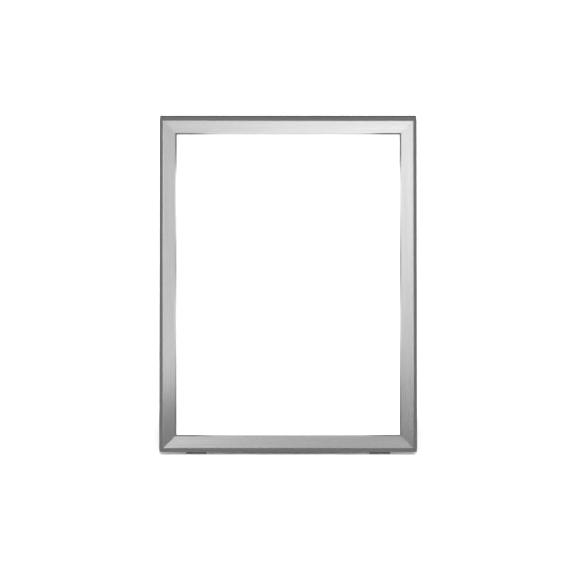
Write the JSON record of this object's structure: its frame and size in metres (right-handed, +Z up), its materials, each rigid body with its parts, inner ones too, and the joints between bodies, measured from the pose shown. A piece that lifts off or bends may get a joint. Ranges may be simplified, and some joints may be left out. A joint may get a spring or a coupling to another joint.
{
  "type": "sandwich board",
  "caption": "Folding A-frame pavement board: two mitred aluminium poster snap frames hinged along the top, held open by sliding stays, with blank posters under clear covers.",
  "frame": {"origin": "centre of the board's footprint, on the floor that its rubber feet stand on", "axes": "+Z up, +X to the right of a reader facing the front panel, -Y towards that reader"},
  "size_m": [0.5052, 0.3698, 0.6396],
  "materials": {
    "base_extrusion": "satin silver anodised base extrusion",
    "snap_extrusion": "satin silver anodised snap extrusion, fine lines along its length",
    "zinc_steel": "bright zinc plated steel",
    "spring_steel": "blued spring steel strip",
    "galvanised_panel": "galvanised sheet with a soft spangle",
    "poster_paper": "blank matt white poster paper",
    "cover_film": "clear anti-glare cover sheet",
    "foot_rubber": "black moulded rubber",
    "key_steel": "zinc plated corner key"
  },
  "bodies": {
    "front_frame": {"front_back_panel": "galvanised_panel", "front_base_bottom": "base_extrusion", "front_base_left": "base_extrusion", "front_base_right": "base_extrusion", "front_base_top": "base_extrusion", "front_corner_keys": "key_steel", "front_corner_screws": "zinc_steel", "front_cover_sheet": "cover_film", "front_foot_left": "foot_rubber", "front_foot_right": "foot_rubber", "front_foot_screws": "zinc_steel", "front_hinge_leaf_left": "zinc_steel", "front_hinge_leaf_right": "zinc_steel", "front_hinge_rivets": "zinc_steel", "front_poster": "poster_paper", "front_snap_springs": "spring_steel", "hinge_pin_left": "zinc_steel", "hinge_pin_right": "zinc_steel", "stay_bracket_left": "zinc_steel", "stay_bracket_right": "zinc_steel", "stay_bracket_rivets": "zinc_steel", "stay_pivot_left": "zinc_steel", "stay_pivot_right": "zinc_steel"},
    "rear_frame": {"rear_back_panel": "galvanised_panel", "rear_base_bottom": "base_extrusion", "rear_base_left": "base_extrusion", "rear_base_right": "base_extrusion", "rear_base_top": "base_extrusion", "rear_corner_keys": "key_steel", "rear_corner_screws": "zinc_steel", "rear_cover_sheet": "cover_film", "rear_foot_left": "foot_rubber", "rear_foot_right": "foot_rubber", "rear_foot_screws": "zinc_steel", "rear_hinge_leaf_left": "zinc_steel", "rear_hinge_leaf_right": "zinc_steel", "rear_hinge_rivets": "zinc_steel", "rear_poster": "poster_paper", "rear_snap_springs": "spring_steel", "stay_track_left": "zinc_steel", "stay_track_right": "zinc_steel", "stay_track_rivets": "zinc_steel"},
    "front_snap_rail_bottom": {"front_snap_rail_bottom": "snap_extrusion"},
    "front_snap_rail_left": {"front_snap_rail_left": "snap_extrusion"},
    "front_snap_rail_right": {"front_snap_rail_right": "snap_extrusion"},
    "front_snap_rail_top": {"front_snap_rail_top": "snap_extrusion"},
    "rear_snap_rail_bottom": {"rear_snap_rail_bottom": "snap_extrusion"},
    "rear_snap_rail_left": {"rear_snap_rail_left": "snap_extrusion"},
    "rear_snap_rail_right": {"rear_snap_rail_right": "snap_extrusion"},
    "rear_snap_rail_top": {"rear_snap_rail_top": "snap_extrusion"},
    "stay_left": {"stay_arm_left": "zinc_steel", "stay_slide_pin_left": "zinc_steel"},
    "stay_right": {"stay_arm_right": "zinc_steel", "stay_slide_pin_right": "zinc_steel"}
  },
  "joints": [
    {"name": "fold", "type": "hinge", "parent": "front_frame", "child": "rear_frame", "pos_m": [0, 0, 0.63279], "axis": [-1, 0, 0], "range_deg": [0, 30]},
    {"name": "front_bottom_rail_snap", "type": "hinge", "parent": "front_frame", "child": "front_snap_rail_bottom", "pos_m": [0, -0.17843, 0.00705], "axis": [1, 0, 0], "range_deg": [0, 90], "stiffness_Nm_per_rad": 0.15, "springref_deg": -57.3},
    {"name": "front_right_rail_snap", "type": "hinge", "parent": "front_frame", "child": "front_snap_rail_right", "pos_m": [0.2496, -0.09411, 0.32175], "axis": [0, 0.2588, 0.9659], "range_deg": [0, 90], "stiffness_Nm_per_rad": 0.15, "springref_deg": -57.3},
    {"name": "front_top_rail_snap", "type": "hinge", "parent": "front_frame", "child": "front_snap_rail_top", "pos_m": [0, -0.00979, 0.63645], "axis": [-1, 0, 0], "range_deg": [0, 90], "stiffness_Nm_per_rad": 0.15, "springref_deg": -57.3},
    {"name": "front_left_rail_snap", "type": "hinge", "parent": "front_frame", "child": "front_snap_rail_left", "pos_m": [-0.2496, -0.09411, 0.32175], "axis": [0, -0.2588, -0.9659], "range_deg": [0, 90], "stiffness_Nm_per_rad": 0.15, "springref_deg": -57.3},
    {"name": "rear_bottom_rail_snap", "type": "hinge", "parent": "rear_frame", "child": "rear_snap_rail_bottom", "pos_m": [0, 0.17843, 0.00705], "axis": [-1, 0, 0], "range_deg": [0, 90], "stiffness_Nm_per_rad": 0.15, "springref_deg": -57.3},
    {"name": "rear_left_rail_snap", "type": "hinge", "parent": "rear_frame", "child": "rear_snap_rail_left", "pos_m": [-0.2496, 0.09411, 0.32175], "axis": [0, -0.2588, 0.9659], "range_deg": [0, 90], "stiffness_Nm_per_rad": 0.15, "springref_deg": -57.3},
    {"name": "rear_top_rail_snap", "type": "hinge", "parent": "rear_frame", "child": "rear_snap_rail_top", "pos_m": [0, 0.00979, 0.63645], "axis": [1, 0, 0], "range_deg": [0, 90], "stiffness_Nm_per_rad": 0.15, "springref_deg": -57.3},
    {"name": "rear_right_rail_snap", "type": "hinge", "parent": "rear_frame", "child": "rear_snap_rail_right", "pos_m": [0.2496, 0.09411, 0.32175], "axis": [0, 0.2588, -0.9659], "range_deg": [0, 90], "stiffness_Nm_per_rad": 0.15, "springref_deg": -57.3},
    {"name": "stay_left_turn", "type": "hinge", "parent": "front_frame", "child": "stay_left", "pos_m": [-0.2134, -0.05823, 0.41546], "axis": [-1, 0, 0], "range_deg": [0, 60]},
    {"name": "stay_right_turn", "type": "hinge", "parent": "front_frame", "child": "stay_right", "pos_m": [0.2134, -0.05823, 0.41546], "axis": [-1, 0, 0], "range_deg": [0, 60]}
  ],
  "couplings": [
    {"joint": "stay_left_turn", "follows": "fold", "ratio": 2},
    {"joint": "stay_right_turn", "follows": "fold", "ratio": 2}
  ]
}
